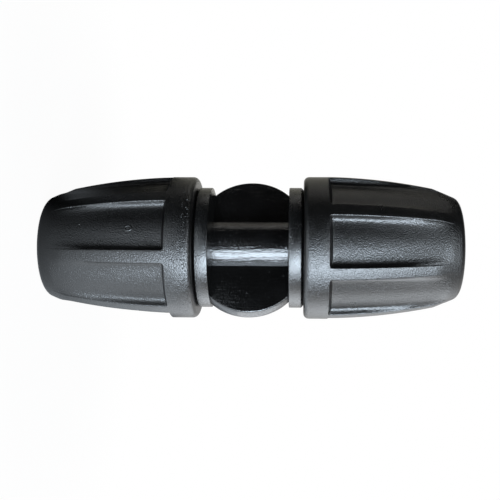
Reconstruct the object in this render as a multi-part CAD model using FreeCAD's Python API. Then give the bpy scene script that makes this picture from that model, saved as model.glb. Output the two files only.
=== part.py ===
import FreeCAD, Part
import math
import os
from FreeCAD import Vector

# A straight connector that joins two lengths of soft irrigation tube.
# One moulded body carries a flange, a threaded cup and a barbed stem at each end, and a ribbed
# lock nut screws over each cup. It stands on the end of its lower nut. The tube's axis is +Z,
# the web lies in the XZ plane, and all sizes are in millimetres.

# The tube that it takes
tube_outer_d = 16.0
tube_wall = 1.5
mouth_clearance = 0.15
cup_clearance = 0.25
stem_clearance = 0.2
barb_bite = 0.8

# Body between the flanges
middle_tube_d = 10.1
waterway_d = 7.0
flange_gap = 14.6
flange_d = 23.4
flange_thickness = 2.4
web_thickness = 2.6
web_width = 29.4

# Barbed stem
stem_bore_d = 8.6
stem_taper_length = 3.0
tip_wall = 1.55
barb_cone_length = 3.8
barb_land_length = 0.8
barb_back_length = 0.5
tip_recess = 2.8

# Threaded cup round the stem, drawn plain at the crests of its thread
cup_wall = 2.4
cup_length = 9.4
cup_floor = 1.0
cup_edge_chamfer = 0.5
thread_clearance = 0.2

# Lock nut
nut_length = 29.8
nut_gap = 0.4
collar_d = 27.6
collar_length = 4.9
collar_edge_round = 0.7
shoulder_start = 6.0
belly_start = 15.5
belly_d = 26.2
cone_start = 24.9
cone_start_d = 23.1
nose_half_angle = 21.0
lip_round = 1.5
lip_flat_count = 1
mouth_land_length = 2.5
grip_cone_length = 4.4
inner_step_start = 11.0
inner_bore_d = 20.0
nut_entry_chamfer = 0.5

# Grip pockets between the ribs of the nut
rib_count = 7
rib_width_angle = 10.8
pocket_depth = 1.4
pocket_knee = 16.0
pocket_knee_d = 24.1
pocket_fade_length = 2.3
lower_nut_turn = -51.7
upper_nut_turn = -38.2

# Worked out from the sizes above
axis_origin = Vector(0, 0, 0)
axis_up = Vector(0, 0, 1)
tube_bore_r = tube_outer_d / 2 - tube_wall
stem_r = tube_bore_r - stem_clearance
barb_r = tube_bore_r + barb_bite
stem_bore_r = stem_bore_d / 2
mouth_r = tube_outer_d / 2 + mouth_clearance
cup_bore_r = tube_outer_d / 2 + cup_clearance
cup_r = cup_bore_r + cup_wall
flange_inner = flange_gap / 2
flange_outer = flange_inner + flange_thickness
nut_start = flange_outer + nut_gap
half_length = nut_start + nut_length
tip = half_length - tip_recess
collar_r = collar_d / 2
overshoot = 1.0


def point(radius, along):
    return Vector(radius, 0, along)


def line(a, b):
    return Part.LineSegment(a, b).toShape()


def arc(a, middle, b):
    return Part.Arc(a, middle, b).toShape()


def polyline(points):
    return [line(a, b) for a, b in zip(points, points[1:])]


def turned(points, degrees=360.0):
    """The solid that a closed profile of radius and height sweeps, centred on +X if it is a sector."""
    closed = points + points[:1]
    solid = Part.Face(Part.Wire(polyline(closed))).revolve(axis_origin, axis_up, degrees)
    return solid.rotated(axis_origin, axis_up, -degrees / 2)


def rounded(before, corner, after, radius, flats):
    """Points that round off a corner of a profile with a run of short flats."""
    back = (before - corner).normalize()
    ahead = (after - corner).normalize()
    half_angle = back.getAngle(ahead) / 2
    reach = radius / math.tan(half_angle)
    centre = corner + (back + ahead).normalize() * (radius / math.sin(half_angle))
    start = corner + back * reach - centre
    end = corner + ahead * reach - centre
    sweep = start.getAngle(end)
    points = []
    for step in range(flats + 1):
        share = step / flats
        first = math.sin((1 - share) * sweep) / math.sin(sweep)
        second = math.sin(share * sweep) / math.sin(sweep)
        points.append(centre + start * first + end * second)
    return points


def body_end():
    """One end of the body, from its middle out along the stem, back over the cup to the flange."""
    barb_top = tip - barb_cone_length
    barb_bottom = barb_top - barb_land_length
    cup_top = flange_outer + cup_length
    cup_base = flange_outer + cup_floor
    flange_r = flange_d / 2
    tube_r = middle_tube_d / 2
    points = [
        point(0, 0),
        point(0, tip),
        point(stem_bore_r + tip_wall, tip),
        point(barb_r, barb_top),
        point(barb_r, barb_bottom),
        point(stem_r, barb_bottom - barb_back_length),
        point(stem_r, cup_base),
        point(cup_bore_r, cup_base),
        point(cup_bore_r, cup_top),
        point(cup_r - cup_edge_chamfer, cup_top),
        point(cup_r, cup_top - cup_edge_chamfer),
        point(cup_r, flange_outer),
        point(flange_r, flange_outer),
        point(flange_r, flange_inner),
        point(tube_r, flange_inner),
        point(tube_r, 0),
    ]
    return turned(points)


def waterway():
    """Half of the passage for the water: a throat in the middle and a wider bore in the stem."""
    throat_r = waterway_d / 2
    taper_end = flange_inner + stem_taper_length
    return turned(
        [
            point(0, 0),
            point(throat_r, 0),
            point(throat_r, flange_inner),
            point(stem_bore_r, taper_end),
            point(stem_bore_r, tip + overshoot),
            point(0, tip + overshoot),
        ]
    )


def both_ends(half):
    return half.fuse(half.mirror(axis_origin, axis_up)).removeSplitter()


def web():
    """The oval plate between the flanges that a hand holds while it turns a nut."""
    rim = flange_d / 2
    far = web_width / 2
    inset = rim - flange_thickness / 2
    root = flange_inner + flange_thickness / 2
    edges = [
        arc(Vector(rim, 0, -flange_inner), Vector(far, 0, 0), Vector(rim, 0, flange_inner)),
        arc(Vector(-rim, 0, flange_inner), Vector(-far, 0, 0), Vector(-rim, 0, -flange_inner)),
    ]
    for end in (-1, 1):
        corners = [(rim, flange_inner), (inset, root), (-inset, root), (-rim, flange_inner)]
        edges += polyline([Vector(x, 0, end * z) for x, z in corners])
    outline = Part.Face(Part.Wire(Part.__sortEdges__(edges)))
    outline.translate(Vector(0, -web_thickness / 2, 0))
    return outline.extrude(Vector(0, web_thickness, 0))


def connector_body():
    outside = both_ends(body_end()).fuse(web())
    return outside.cut(both_ends(waterway())).removeSplitter()


def nose_r(along):
    """The radius of the nut's nose cone at a distance along the nut."""
    return cone_start_d / 2 - (along - cone_start) * math.tan(math.radians(nose_half_angle))


def nut_outside():
    """The turned outside of the nut, from its collar to the rounded lip of its mouth."""
    foot = point(collar_r, 0)
    shoulder = point(collar_r, shoulder_start)
    cone = point(cone_start_d / 2, cone_start)
    lip = point(nose_r(nut_length), nut_length)
    foot_centre = point(0, 0)
    lip_centre = point(0, nut_length)
    points = [lip_centre, foot_centre]
    points += rounded(foot_centre, foot, shoulder, collar_edge_round, 1)
    points += [shoulder, point(belly_d / 2, belly_start), cone]
    points += rounded(cone, lip, lip_centre, lip_round, lip_flat_count)
    return turned(points)


def nut_inside():
    """The nut's bore: room for the thread, a plain bore, the cone that grips the tube, the mouth."""
    thread_r = cup_r + thread_clearance
    land = nut_length - mouth_land_length
    inner_r = inner_bore_d / 2
    return turned(
        [
            point(0, -overshoot),
            point(thread_r + nut_entry_chamfer, -overshoot),
            point(thread_r + nut_entry_chamfer, 0),
            point(thread_r, nut_entry_chamfer),
            point(thread_r, inner_step_start),
            point(inner_r, inner_step_start),
            point(inner_r, land - grip_cone_length),
            point(mouth_r, land),
            point(mouth_r, nut_length + overshoot),
            point(0, nut_length + overshoot),
        ]
    )


def pocket():
    """What is taken out between two ribs, with a floor that rises to meet the nose cone."""
    outer_r = collar_r + overshoot
    fade = nut_length - pocket_fade_length
    beyond = nut_length
    knee = point(pocket_knee_d / 2, pocket_knee)
    fade_point = point(nose_r(fade), fade)
    slope = (fade_point - knee) * ((beyond - pocket_knee) / (fade - pocket_knee))
    return turned(
        [
            point(collar_r - pocket_depth, collar_length),
            knee,
            knee + slope,
            point(outer_r, beyond),
            point(outer_r, collar_length),
        ],
        360.0 / rib_count - rib_width_angle,
    )


def lock_nut():
    """The nut with its mouth up, its inner face at the origin and a rib at +X."""
    solid = nut_outside().cut(nut_inside())
    cutter = pocket()
    step = 360.0 / rib_count
    turns = [(number + 0.5) * step for number in range(rib_count)]
    return solid.cut([cutter.rotated(axis_origin, axis_up, turn) for turn in turns])


def standing(shape):
    """Raises a shape from the middle of the fitting to its place over the ground."""
    return shape.translated(Vector(0, 0, half_length))


nut = lock_nut().translated(Vector(0, 0, nut_start))
upper = nut.rotated(axis_origin, axis_up, upper_nut_turn)
lower = nut.rotated(axis_origin, Vector(1, 0, 0), 180.0).rotated(axis_origin, axis_up, lower_nut_turn)

parts = {
    "connector_body": standing(connector_body()),
    "lock_nut_lower": standing(lower),
    "lock_nut_upper": standing(upper),
}

os.makedirs("parts", exist_ok=True)
for name, shape in parts.items():
    shape.exportStep(os.path.join("parts", name + ".step"))
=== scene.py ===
import math
import bmesh
import bpy
from mathutils import Matrix, Quaternion, Vector


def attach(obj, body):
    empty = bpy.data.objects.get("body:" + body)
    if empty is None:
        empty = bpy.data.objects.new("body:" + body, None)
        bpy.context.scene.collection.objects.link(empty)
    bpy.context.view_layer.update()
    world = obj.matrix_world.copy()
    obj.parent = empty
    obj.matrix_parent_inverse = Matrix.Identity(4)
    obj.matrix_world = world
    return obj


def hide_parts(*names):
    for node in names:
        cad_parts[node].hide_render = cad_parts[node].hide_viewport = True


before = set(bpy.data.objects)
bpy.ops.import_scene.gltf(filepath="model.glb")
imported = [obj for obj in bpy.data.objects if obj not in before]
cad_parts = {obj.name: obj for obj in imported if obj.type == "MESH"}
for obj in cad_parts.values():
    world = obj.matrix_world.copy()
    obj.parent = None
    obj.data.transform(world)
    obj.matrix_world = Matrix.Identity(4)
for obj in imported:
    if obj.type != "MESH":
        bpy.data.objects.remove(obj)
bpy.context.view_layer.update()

# A tube connector that stands on its lower lock nut, with its axis on +Z and its web in the XZ plane.
# The photograph shows it lying down, with the lower nut at the left. Lengths are in millimetres
# until they are multiplied by MM.

MM = 0.001
PER_METRE = 1000
HALF_LENGTH = 39.9
MIDDLE = HALF_LENGTH * MM
CAMERA_SIDE = math.radians(31)
TOWARDS_CAMERA = Vector((math.sin(CAMERA_SIDE), -math.cos(CAMERA_SIDE), 0))
PHOTO_DOWN = Vector((math.cos(CAMERA_SIDE), math.sin(CAMERA_SIDE), 0))


def around(degrees, lift=0.0):
    """A direction turned from the camera towards the photograph's lower edge."""
    turn = math.radians(degrees)
    return TOWARDS_CAMERA * math.cos(turn) + PHOTO_DOWN * math.sin(turn) + Vector((0, 0, lift))


# Camera

CAMERA_HEIGHT = 49.4
CAMERA_DISTANCE = 156.9
TARGET_HEIGHT = 39.8
TARGET_SHIFT = 0.47
CAMERA_ROLL = math.radians(0.29)
SENSOR_WIDTH = 36
HALF_FIELD_TANGENT = 250 / 800


def photo_camera():
    data = bpy.data.cameras.new("photo_camera")
    data.sensor_width = SENSOR_WIDTH
    data.lens = SENSOR_WIDTH / 2 / HALF_FIELD_TANGENT
    data.clip_start = 0.01
    data.clip_end = 20
    camera = bpy.data.objects.new("photo_camera", data)
    bpy.context.collection.objects.link(camera)
    place = Vector((0, 0, CAMERA_HEIGHT * MM)) + TOWARDS_CAMERA * CAMERA_DISTANCE * MM
    target = Vector((0, 0, TARGET_HEIGHT * MM)) + PHOTO_DOWN * TARGET_SHIFT * MM
    back = (place - target).normalized()
    right = (-PHOTO_DOWN).cross(back).normalized()
    up = back.cross(right)
    turn = Matrix((right, up, back)).transposed().to_4x4() @ Matrix.Rotation(CAMERA_ROLL, 4, "Z")
    camera.matrix_world = Matrix.Translation(place) @ turn
    bpy.context.scene.camera = camera


# Shader maths written as expressions

class Wire:
    """A shader output that can be used in sums."""

    def __init__(self, sheet, socket):
        self.sheet = sheet
        self.socket = socket

    def maths(self, operation, *others):
        return self.sheet.add("ShaderNodeMath", {"operation": operation}, [self, *others])

    def __add__(self, other):
        return self.maths("ADD", other)

    def __radd__(self, other):
        return self.maths("ADD", other)

    def __sub__(self, other):
        return self.maths("SUBTRACT", other)

    def __rsub__(self, other):
        return self.sheet.add("ShaderNodeMath", {"operation": "SUBTRACT"}, [other, self])

    def __mul__(self, other):
        return self.maths("MULTIPLY", other)

    def over(self, low, high):
        """0 below low, 1 above high, and smooth between."""
        settings = {"interpolation_type": "SMOOTHSTEP"}
        values = {"Value": self, "From Min": low, "From Max": high}
        return self.sheet.add("ShaderNodeMapRange", settings, values)


class Sheet:
    """A node tree that is filled in by add()."""

    def __init__(self, tree):
        self.tree = tree
        tree.nodes.clear()

    def add(self, kind, settings=None, inputs=(), output=0):
        node = self.tree.nodes.new(kind)
        for name, value in (settings or {}).items():
            setattr(node, name, value)
        pairs = inputs.items() if isinstance(inputs, dict) else enumerate(inputs)
        for name, value in pairs:
            if isinstance(value, Wire):
                self.tree.links.new(value.socket, node.inputs[name])
            else:
                node.inputs[name].default_value = value
        return Wire(self, node.outputs[output]) if node.outputs else None

    def place(self, stretch=(1, 1, 1)):
        """The piece's own coordinates in millimetres, each multiplied by its share of stretch."""
        coords = self.add("ShaderNodeTexCoord", output="Object")
        size = tuple(PER_METRE * factor for factor in stretch)
        return self.add("ShaderNodeMapping", {}, {"Vector": coords, "Scale": size})

    def height(self, where):
        return self.add("ShaderNodeSeparateXYZ", {}, [where], output=2)

    def along(self, where, direction):
        """How far a place lies along a direction."""
        values = {0: where, 1: tuple(direction)}
        return self.add("ShaderNodeVectorMath", {"operation": "DOT_PRODUCT"}, values, output="Value")

    def noise(self, where, scale, detail=2.0, roughness=0.5):
        values = {"Vector": where, "Scale": scale, "Detail": detail, "Roughness": roughness}
        return self.add("ShaderNodeTexNoise", {}, values)

    def mix(self, share, first, second):
        values = {"Factor": share, 6: (*first, 1), 7: (*second, 1)}
        return self.add("ShaderNodeMix", {"data_type": "RGBA"}, values, output=2)

    def glow(self, colour, strength):
        return self.add("ShaderNodeEmission", {}, {"Color": (*colour, 1), "Strength": strength})

    def mix_shaders(self, share, first, second):
        return self.add("ShaderNodeMixShader", {}, {0: share, 1: first, 2: second})

    def rays(self):
        """1 for a ray from the camera, for a glossy one, and for one through something clear."""
        outputs = self.add("ShaderNodeLightPath").socket.node.outputs
        names = ("Is Camera Ray", "Is Glossy Ray", "Is Transmission Ray")
        return [Wire(self, outputs[name]) for name in names]


def finish_material(name, build):
    material = bpy.data.materials.new(name)
    material.use_nodes = True
    sheet = Sheet(material.node_tree)
    shader = build(sheet)
    sheet.add("ShaderNodeOutputMaterial", {}, {"Surface": shader})
    return material


# Plastics. Bump heights are in millimetres.

NICKED_HEIGHT = 28.6
NEAR_BLACK = (0.0025, 0.0024, 0.0022)
SOFT_BLACK = (0.0038, 0.0036, 0.0034)
SMOOTH_BLACK = (0.003, 0.003, 0.003)
SMOOTH_SOFT_BLACK = (0.0045, 0.0045, 0.0045)


def plastic(sheet, drift, darker, lighter, roughness, bump, level):
    """A black plastic whose colour drifts between two shades, with a bump height in millimetres."""
    relief = {"Strength": 1.0, "Distance": MM, "Height": bump}
    values = {
        "Base Color": sheet.mix(drift.over(0.35, 0.7), darker, lighter),
        "Roughness": roughness,
        "Normal": sheet.add("ShaderNodeBump", {}, relief),
        "Specular IOR Level": level,
    }
    return sheet.add("ShaderNodeBsdfPrincipled", {}, values)


def grained_plastic(sheet):
    """Black polypropylene from a spark-eroded mould: a fine grain, and nicks on the lower collar."""
    where = sheet.place()
    grain = sheet.noise(where, scale=4.4, detail=1.0, roughness=0.6)
    drift = sheet.noise(where, scale=0.16, detail=3.0)
    worn = 1 - (sheet.height(where) - NICKED_HEIGHT).maths("ABSOLUTE").over(0.5, 0.9)
    nicks = sheet.noise(where, scale=1.7, detail=1.0).over(0.62, 0.70) * worn
    bump = grain * 0.085 + nicks * 0.12
    return plastic(sheet, drift, NEAR_BLACK, SOFT_BLACK, 0.26 + drift * 0.04, bump, level=1.0)


def smooth_plastic(sheet):
    """The same black plastic from a polished mould: draw lines and pits, and grain on the flanges."""
    where = sheet.place()
    lines = sheet.noise(sheet.place((1, 1, 0.12)), scale=2.2, detail=3.0, roughness=0.6)
    drift = sheet.noise(where, scale=0.3, detail=3.0)
    waves = sheet.noise(where, scale=2.6)
    pits = sheet.noise(where, scale=1.5, detail=1.0).over(0.73, 0.78)
    grain = sheet.noise(where, scale=4.4, detail=1.0, roughness=0.6)
    flange = (sheet.height(where) - HALF_LENGTH).maths("ABSOLUTE").over(7.3, 7.7)
    bump = (lines * 0.08 + waves * 0.04) * (1 - flange * 0.85) + flange * grain * 0.06 - pits * 0.03
    roughness = 0.17 + drift * 0.08 + flange * 0.06
    return plastic(sheet, drift, SMOOTH_BLACK, SMOOTH_SOFT_BLACK, roughness, bump, level=1.25)


# Meshes

CREASE = math.radians(40)


def new_piece(name, bm, body, node, material):
    mesh = bpy.data.meshes.new(name)
    bm.to_mesh(mesh)
    bm.free()
    mesh.shade_smooth()
    mesh.set_sharp_from_angle(angle=CREASE)
    mesh.materials.append(material)
    piece = bpy.data.objects.new(name, mesh)
    bpy.context.collection.objects.link(piece)
    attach(piece, body)
    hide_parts(node)


def near(value, target):
    return abs(value - target) < 0.01


def closed_wire(bm, verts):
    """The edges that join points into a closed loop."""
    return [bm.edges.new(pair) for pair in zip(verts, verts[1:] + verts[:1])]


def profile(bm, corners):
    """A closed profile in the XZ plane, given as radii and heights."""
    verts = [bm.verts.new((radius, 0, along)) for radius, along in corners]
    closed_wire(bm, verts)
    return verts


def turned(bm, geometry, steps):
    bmesh.ops.spin(
        bm, geom=geometry, cent=(0, 0, 0), axis=(0, 0, 1), angle=math.tau, steps=steps, use_merge=True
    )
    bmesh.ops.recalc_face_normals(bm, faces=bm.faces)


def rounded(bm, geometry, radius, segments, affect="VERTICES"):
    bmesh.ops.bevel(
        bm, geom=geometry, offset=radius, offset_type="OFFSET", segments=segments, profile=0.5,
        affect=affect, material=-1, clamp_overlap=True,
    )


def rotated(bm, angle, axis):
    turn = Matrix.Rotation(angle, 3, axis)
    bmesh.ops.rotate(bm, verts=bm.verts, cent=(0, 0, 0), matrix=turn)


def stood_up(bm, height):
    """Turns millimetres into metres, and raises a shape from the fitting's middle to its place."""
    bmesh.ops.scale(bm, verts=bm.verts, vec=(MM, MM, MM))
    bmesh.ops.translate(bm, verts=bm.verts, vec=(0, 0, MIDDLE + height * MM))


def joined(shells):
    """One bmesh from several shells."""
    whole = bmesh.new()
    for shell in shells:
        mesh = bpy.data.meshes.new("shell")
        shell.to_mesh(mesh)
        shell.free()
        whole.from_mesh(mesh)
        bpy.data.meshes.remove(mesh)
    return whole


# The body. Its heights are counted from its middle.

TUBE_R = 5.05
THROAT_R = 3.5
THROAT_END = 7.3
STEM_BORE_R = 4.3
STEM_BORE_START = 10.3
STEM_R = 6.3
STEM_END = 37.1
STEM_TIP_R = 5.85
BARB_R = 7.3
CUP_BORE_R = 8.25
CUP_FLOOR = 10.7
CUP_END = 19.1
THREAD_ROOT = 9.6
THREAD_CREST = 10.65
THREAD_PITCH = 3.0
FLANGE_R = 11.7
FLANGE_NEAR = 7.6
FLANGE_FAR = 10.0
LOWER_FLANGE_SHIFT = 0.25
WEB_R = 14.7
WEB_THICKNESS = 2.6
WEB_REACH = 7.3
WEB_BURIED = 8.0
TURNED_STEPS = 144


def turned_body(bm):
    """The tube, flanges, threaded cups and barbed stems, turned in one profile."""
    thread = []
    for number in range(3):
        top = 18.6 - number * THREAD_PITCH
        thread += [(THREAD_ROOT, top - 0.9), (THREAD_CREST, top - 1.3)]
        thread += [(THREAD_CREST, top - 1.7), (THREAD_ROOT, top - 2.1)]
    upper = [
        (THROAT_R, 0), (THROAT_R, THROAT_END), (STEM_BORE_R, STEM_BORE_START),
        (STEM_BORE_R, STEM_END), (STEM_TIP_R, STEM_END),
        (BARB_R, 33.3), (BARB_R, 32.5), (STEM_R, 32.0),
        (STEM_R, CUP_FLOOR), (CUP_BORE_R, CUP_FLOOR),
        (CUP_BORE_R, CUP_END), (9.2, CUP_END), (THREAD_ROOT, 18.7), *thread, (THREAD_ROOT, FLANGE_FAR),
        (FLANGE_R, FLANGE_FAR), (FLANGE_R, FLANGE_NEAR),
        (TUBE_R, FLANGE_NEAR), (TUBE_R, 0),
    ]
    lower = []
    for radius, along in reversed(upper[1:-1]):
        shift = LOWER_FLANGE_SHIFT if along in (FLANGE_NEAR, FLANGE_FAR) else 0
        lower.append((radius, shift - along))
    verts = profile(bm, upper + lower)
    rounded(bm, [v for v in verts if near(v.co.x, FLANGE_R)], 0.15, 3)
    ends = [v for v in bm.verts if near(abs(v.co.z), STEM_END) or near(abs(v.co.z), CUP_END)]
    rounded(bm, ends, 0.3, 2)
    turned(bm, bm.verts[:] + bm.edges[:], TURNED_STEPS)


def web_half(bm):
    """The oval plate between the flanges at one side of the tube, with rounded rims."""
    sagitta = WEB_R - FLANGE_R
    radius = (WEB_REACH * WEB_REACH + sagitta * sagitta) / (2 * sagitta)
    centre = WEB_R - radius
    sweep = 2 * math.asin(WEB_REACH / radius)
    start = bm.verts.new((FLANGE_R, 0, -WEB_REACH))
    bmesh.ops.spin(bm, geom=[start], cent=(centre, 0, 0), axis=(0, 1, 0), angle=-sweep, steps=40)
    arc = sorted(bm.verts, key=lambda v: v.co.z)
    inset = FLANGE_R - 0.7
    hidden = TUBE_R - 0.85
    corners = [(inset, WEB_BURIED), (hidden, WEB_BURIED), (hidden, -WEB_BURIED), (inset, -WEB_BURIED)]
    outline = arc + [bm.verts.new((x, 0, z)) for x, z in corners]
    for edge in list(bm.edges):
        bm.edges.remove(edge)
    face = bm.faces.new(outline)
    bmesh.ops.translate(bm, verts=outline, vec=(0, -WEB_THICKNESS / 2, 0))
    grown = bmesh.ops.extrude_face_region(bm, geom=[face])
    moved = [v for v in grown["geom"] if isinstance(v, bmesh.types.BMVert)]
    bmesh.ops.translate(bm, verts=moved, vec=(0, WEB_THICKNESS, 0))
    bmesh.ops.recalc_face_normals(bm, faces=bm.faces)
    rims = []
    for edge in bm.edges:
        a, b = (v.co for v in edge.verts)
        if near(a.y, b.y) and max(a.x, b.x) > inset + 0.2:
            rims.append(edge)
    rounded(bm, rims, 0.28, 3, "EDGES")


def connector_body(material):
    shells = [bmesh.new() for _ in range(3)]
    turned_body(shells[0])
    web_half(shells[1])
    web_half(shells[2])
    rotated(shells[2], math.pi, "Z")
    bm = joined(shells)
    stood_up(bm, 0)
    new_piece("moulded_body", bm, "fitting", "connector_body", material)


# The ribbed lock nut. Along it, s runs from its inner face to its mouth.

NUT_START = 10.1
NUT_LENGTH = 29.8
COLLAR_R = 13.8
SHOULDER_AT = 6
NOSE_AT = 24.9
NOSE_R = 11.55
NOSE_SLOPE = math.tan(math.radians(23))
THREAD_CLEAR_R = 10.85
BORE_R = 10
MOUTH_R = 8.15
FLANGE_CLEARANCE = 0.03
UPPER_FACE_AT = 0.3
LOWER_TURN = math.radians(-51.7)
UPPER_TURN = math.radians(-38.6)

# Pockets between the ribs. Each wall is a rounded edge and then a hollow blend down to the floor.
RIBS = 7
HALF_STEP = math.pi / RIBS
RIB_HALF = math.radians(5.4)
STEP_AT = 5.0
FADE_AT = 27.5
FADED_AT = FADE_AT + 1
POCKET_DEPTH = 1.45
EDGE_ROUND = 0.2
EDGE_POINTS = 4
EDGE_TURN = math.radians(30)

# How far into the pocket, and how far down. The walls widen towards the mouth from WIDENS_AT.
END_WALL = [(0.03, 0.3), (0.38, 1.22), (0.44, 1.34), (0.54, 1.42), (0.68, 1.45)]
BLEND = [
    (0.07, 0.52), (0.115, 0.68), (0.19, 0.83), (0.29, 0.965), (0.41, 1.08), (0.555, 1.17),
    (0.71, 1.235), (0.90, 1.29), (1.20, 1.355), (1.60, 1.41), (2.20, 1.45),
]
WIDENS_AT = 11
WIDENS_OVER = 12

# Columns of points round the nut, counted from the middle of a rib
CURVE = EDGE_POINTS + len(BLEND)
RIB_COLUMNS = 3
FLOOR_COLUMNS = 4
COLUMNS = 2 * (RIB_COLUMNS + CURVE - 1 + FLOOR_COLUMNS)


def circle_through(a, b, c):
    """Centre and radius of the circle through three points."""
    ax, ay, bx, by, cx, cy = *a, *b, *c
    d = 2 * (ax * (by - cy) + bx * (cy - ay) + cx * (ay - by))
    sa, sb, sc = ax * ax + ay * ay, bx * bx + by * by, cx * cx + cy * cy
    x = (sa * (by - cy) + sb * (cy - ay) + sc * (ay - by)) / d
    y = (sa * (cx - bx) + sb * (ax - cx) + sc * (bx - ax)) / d
    return x, y, math.hypot(ax - x, ay - y)


BELLY = circle_through((SHOULDER_AT, COLLAR_R), (15.4, 13.1), (NOSE_AT, NOSE_R))
FLOOR = circle_through((STEP_AT, 12.35), (16, 11.72), (FADE_AT, 10.52))


def on_arc(circle, s):
    """Radius of the nut where its outline follows a circle."""
    x, y, radius = circle
    return y + math.sqrt(radius * radius - (s - x) ** 2)


def crest_radius(s):
    """Outside radius of the nut over its ribs."""
    if s < SHOULDER_AT:
        return COLLAR_R
    if s > NOSE_AT:
        return NOSE_R - (s - NOSE_AT) * NOSE_SLOPE
    return on_arc(BELLY, s)


def pocket_depth(s):
    """How far the pocket's floor lies under the ribs, easing to nothing in the nose."""
    if s >= FADED_AT:
        return 0.0
    along = max(s, STEP_AT)
    depth = crest_radius(along) - on_arc(FLOOR, along)
    return 0.5 * (depth + math.sqrt(depth * depth + 0.0016))


def wall_point(index, depth, s):
    """A point of the section down a pocket's wall: distance into the pocket, and height left."""
    if index < EDGE_POINTS:
        edge = min(EDGE_ROUND, 0.25 * depth)
        turn = EDGE_TURN * index
        along, down = edge * (math.sin(turn) - 1), edge * (1 - math.cos(turn))
    else:
        along, down = BLEND[index - EDGE_POINTS]
        widest = BLEND[-1][0]
        share = min(1.0, max(0.0, s - WIDENS_AT) / WIDENS_OVER)
        along = widest * (1 + 0.55 * share) * (along / widest) ** (1 - 0.4 * share)
        down *= depth / POCKET_DEPTH
    return along, 1 - down / depth


def end_wall():
    """The wall that closes a pocket at the collar: distance from the step, and height left."""
    points = []
    for index in range(EDGE_POINTS):
        turn = EDGE_TURN * index
        points.append((EDGE_ROUND * (math.sin(turn) - 1), EDGE_ROUND * (1 - math.cos(turn))))
    return [(along, 1 - down / POCKET_DEPTH) for along, down in points + END_WALL]


def column_place(column, s):
    """Angle of a column of points, and its height: 1 on a rib and 0 on a pocket's floor."""
    depth = max(pocket_depth(s), 0.35)
    radius = crest_radius(s)
    within = column % COLUMNS
    mirrored = min(within, COLUMNS - within)
    side = 1 if within <= COLUMNS // 2 else -1
    period = column // COLUMNS + (1 if side < 0 else 0)
    first = RIB_HALF + wall_point(0, depth, s)[0] / radius
    last = RIB_HALF + wall_point(CURVE - 1, depth, s)[0] / radius
    curve = mirrored - RIB_COLUMNS
    if curve < 0:
        angle, height = first * mirrored / RIB_COLUMNS, 1.0
    elif curve < CURVE:
        along, height = wall_point(curve, depth, s)
        angle = RIB_HALF + along / radius
    else:
        share = (curve - CURVE + 1) / FLOOR_COLUMNS
        angle, height = last + (HALF_STEP - last) * share, 0.0
    return period * 2 * HALF_STEP + side * angle, height


def nut_profile(bm, is_lower):
    """The nut's section as a closed wire, with how much of the rib's height each point keeps.

    A thin boss on the inner face reaches up to the flange, with a V groove behind it."""
    keep = bm.verts.layers.float.new("keep")
    face = 0 if is_lower else UPPER_FACE_AT
    flange = FLANGE_FAR - (LOWER_FLANGE_SHIFT if is_lower else 0)
    boss = flange + FLANGE_CLEARANCE - NUT_START
    rows = [(THREAD_CLEAR_R, boss, 1), (11.65, boss, 1), (11.15, face, 1)]
    rows += [(COLLAR_R, face, 1), (COLLAR_R, 2.4, 1)]
    rows += [(crest_radius(STEP_AT + along), STEP_AT + along, height) for along, height in end_wall()]
    stations = [7 + 0.85 * number for number in range(22)] + [25.7, 26.4, 27.0, 27.5, 28.0, 28.4]
    rows += [(crest_radius(s), s, 0) for s in stations]
    rows += [(crest_radius(NUT_LENGTH), NUT_LENGTH, 1), (MOUTH_R, NUT_LENGTH, 1), (MOUTH_R, 27.3, 1)]
    rows += [(BORE_R, 22.9, 1), (BORE_R, 11.8, 1), (THREAD_CLEAR_R, 11, 1), (THREAD_CLEAR_R, 0.5, 1)]
    verts = profile(bm, [(radius, s) for radius, s, _ in rows])
    for vert, (_, _, height) in zip(verts, rows):
        vert[keep] = height
    lip = [v for v in verts if near(v.co.z, NUT_LENGTH) and v.co.x > 9]
    rounded(bm, lip, 1.03, 6)
    foot = [v for v in bm.verts if v.co.z < face + 0.01 and v.co.x > 13]
    rounded(bm, foot, 1.0, 5)
    mouth = [v for v in bm.verts if near(v.co.z, NUT_LENGTH) and v.co.x < 8.5]
    rounded(bm, mouth, 0.35, 3)
    return keep


def moulding_marks():
    """A small raised ring and a dot on a pocket's floor, as shells that sink into it."""
    ring = bmesh.new()
    turns = [math.tau * number / 12 for number in range(12)]
    section = [ring.verts.new((0.5 + 0.18 * math.cos(a), 0, 0.2 * math.sin(a))) for a in turns]
    turned(ring, section + closed_wire(ring, section), 24)
    bmesh.ops.scale(ring, verts=ring.verts, vec=(1.25, 0.95, 1))
    dot = bmesh.new()
    bmesh.ops.create_uvsphere(dot, u_segments=12, v_segments=8, radius=0.2)
    bmesh.ops.scale(dot, verts=dot.verts, vec=(1, 1, 0.7))
    for mark, s, aside, sunk in ((ring, 11.8, -1.7, 0.04), (dot, 21.2, 3.6, 0)):
        rotated(mark, math.pi / 2, "Y")
        floor = crest_radius(s) - pocket_depth(s)
        bmesh.ops.translate(mark, verts=mark.verts, vec=(floor - sunk, 0, s))
        rotated(mark, HALF_STEP + math.radians(aside), "Z")
    return ring, dot


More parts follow.
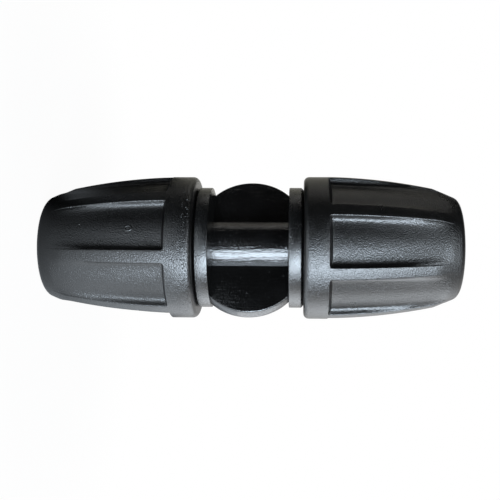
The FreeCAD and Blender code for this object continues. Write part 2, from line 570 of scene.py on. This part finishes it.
def lock_nut(name, body, node, material, turn, is_lower):
    bm = bmesh.new()
    keep = nut_profile(bm, is_lower)
    total = RIBS * COLUMNS
    turned(bm, bm.verts[:] + bm.edges[:], total)
    for vert in bm.verts:
        radius, s = math.hypot(vert.co.x, vert.co.y), vert.co.z
        column = round(math.atan2(vert.co.y, vert.co.x) / math.tau * total) % total
        angle, height = column_place(column, s)
        stands = min(1.0, math.hypot(height, vert[keep]))
        if vert[keep] < 0.999:
            radius -= pocket_depth(s) * (1 - stands)
        vert.co = (radius * math.cos(angle), radius * math.sin(angle), s)
    if is_lower:
        bm = joined([bm, *moulding_marks()])
        rotated(bm, math.pi, "X")
    rotated(bm, turn, "Z")
    stood_up(bm, -NUT_START if is_lower else NUT_START)
    new_piece(name, bm, body, node, material)


# Stage

FLOOR_R = 160
DARK_CARD = (0.02, 0.02, 0.02)
PALE_CARD = (0.8, 0.8, 0.8)
WHITE = (1, 1, 1)
COOL_WHITE = (0.84, 0.92, 1)
LAMP_DISTANCE = 0.5


def floor_card(sheet):
    """White to the camera. In reflections it is dark, and bright towards the photograph's lower side."""
    camera, glossy, through = sheet.rays()
    place = sheet.place()
    spread = sheet.add("ShaderNodeVectorMath", {"operation": "LENGTH"}, [place], output="Value")
    # Seen only in reflections, the floor glows: strongly and cool on the lit side, and faintly in a band
    # behind the fitting.
    towards = sheet.along(place, PHOTO_DOWN * 0.8 + TOWARDS_CAMERA * 0.6)
    behind = sheet.along(place, around(-145))
    patch = behind.over(9, 22) * (1 - behind.over(22, 50)) * 0.1
    card = sheet.add("ShaderNodeBsdfDiffuse", {}, {"Color": sheet.mix(camera, DARK_CARD, PALE_CARD)})
    whiteness = (camera + through) * (0.96 + spread.over(25, 90) * 0.04)
    seen = sheet.mix_shaders(whiteness, card, sheet.glow(WHITE, 1.0))
    brightness = glossy * (towards.over(-7, 38) + patch)
    return sheet.mix_shaders(brightness, seen, sheet.glow(COOL_WHITE, 1.7))


def pale_floor():
    bm = bmesh.new()
    bmesh.ops.create_circle(bm, cap_ends=True, radius=FLOOR_R * MM, segments=96)
    mesh = bpy.data.meshes.new("floor")
    bm.to_mesh(mesh)
    bm.free()
    mesh.materials.append(finish_material("floor_card", floor_card))
    floor = bpy.data.objects.new("floor", mesh)
    bpy.context.collection.objects.link(floor)


def studio_world():
    """White to the camera. Elsewhere a studio that is bright on the photograph's lower side."""
    world = bpy.data.worlds.new("studio")
    bpy.context.scene.world = world
    world.use_nodes = True
    sheet = Sheet(world.node_tree)
    camera, glossy, through = sheet.rays()
    way = sheet.add("ShaderNodeTexCoord", output="Generated")
    lit = sheet.along(way, around(125)).over(0.0, 1.0)
    lightness = 0.012 + lit * (0.4 + glossy * 0.5)
    white = camera.maths("MAXIMUM", through)
    strength = white + (1 - white) * lightness
    shade = sheet.add("ShaderNodeBackground", {}, {"Color": (*WHITE, 1), "Strength": strength})
    sheet.add("ShaderNodeOutputWorld", {}, {"Surface": shade})


def lamp(name, direction, width, height, watts, colour, lean=0):
    """A rectangular lamp that faces the fitting's middle. Its sizes are in metres."""
    data = bpy.data.lights.new(name, "AREA")
    data.shape = "RECTANGLE"
    data.size = width
    data.size_y = height
    data.energy = watts
    data.color = colour
    item = bpy.data.objects.new(name, data)
    bpy.context.collection.objects.link(item)
    item.location = Vector((0, 0, MIDDLE)) + direction.normalized() * LAMP_DISTANCE
    item.rotation_mode = "QUATERNION"
    leaning = Quaternion((0, 0, 1), math.radians(lean))
    item.rotation_quaternion = direction.to_track_quat("Z", "Y") @ leaning


photo_camera()
pale_floor()
studio_world()
lamp("key", around(32, 0.02), 0.28, 0.52, 5.6, (0.76, 0.88, 1.0), lean=8)
lamp("high_soft", around(12, 0.9), 0.50, 0.34, 1.3, (0.85, 0.93, 1.0))
lamp("low_fill", around(115, 0.1), 0.36, 0.50, 1.2, (0.86, 0.93, 1.0))
lamp("warm_back", around(-152, -0.1), 0.50, 0.40, 0.24, (1.0, 0.98, 0.84))
lamp("warm_strip", around(-107, 0.15), 0.08, 0.50, 0.13, (1.0, 0.99, 0.95))

grained = finish_material("grained_black_plastic", grained_plastic)
smooth = finish_material("smooth_black_plastic", smooth_plastic)
connector_body(smooth)
lock_nut("lower_lock_nut", "lower_nut", "lock_nut_lower", grained, LOWER_TURN, True)
lock_nut("upper_lock_nut", "upper_nut", "lock_nut_upper", grained, UPPER_TURN, False)

bpy.context.scene.view_settings.view_transform = "Standard"
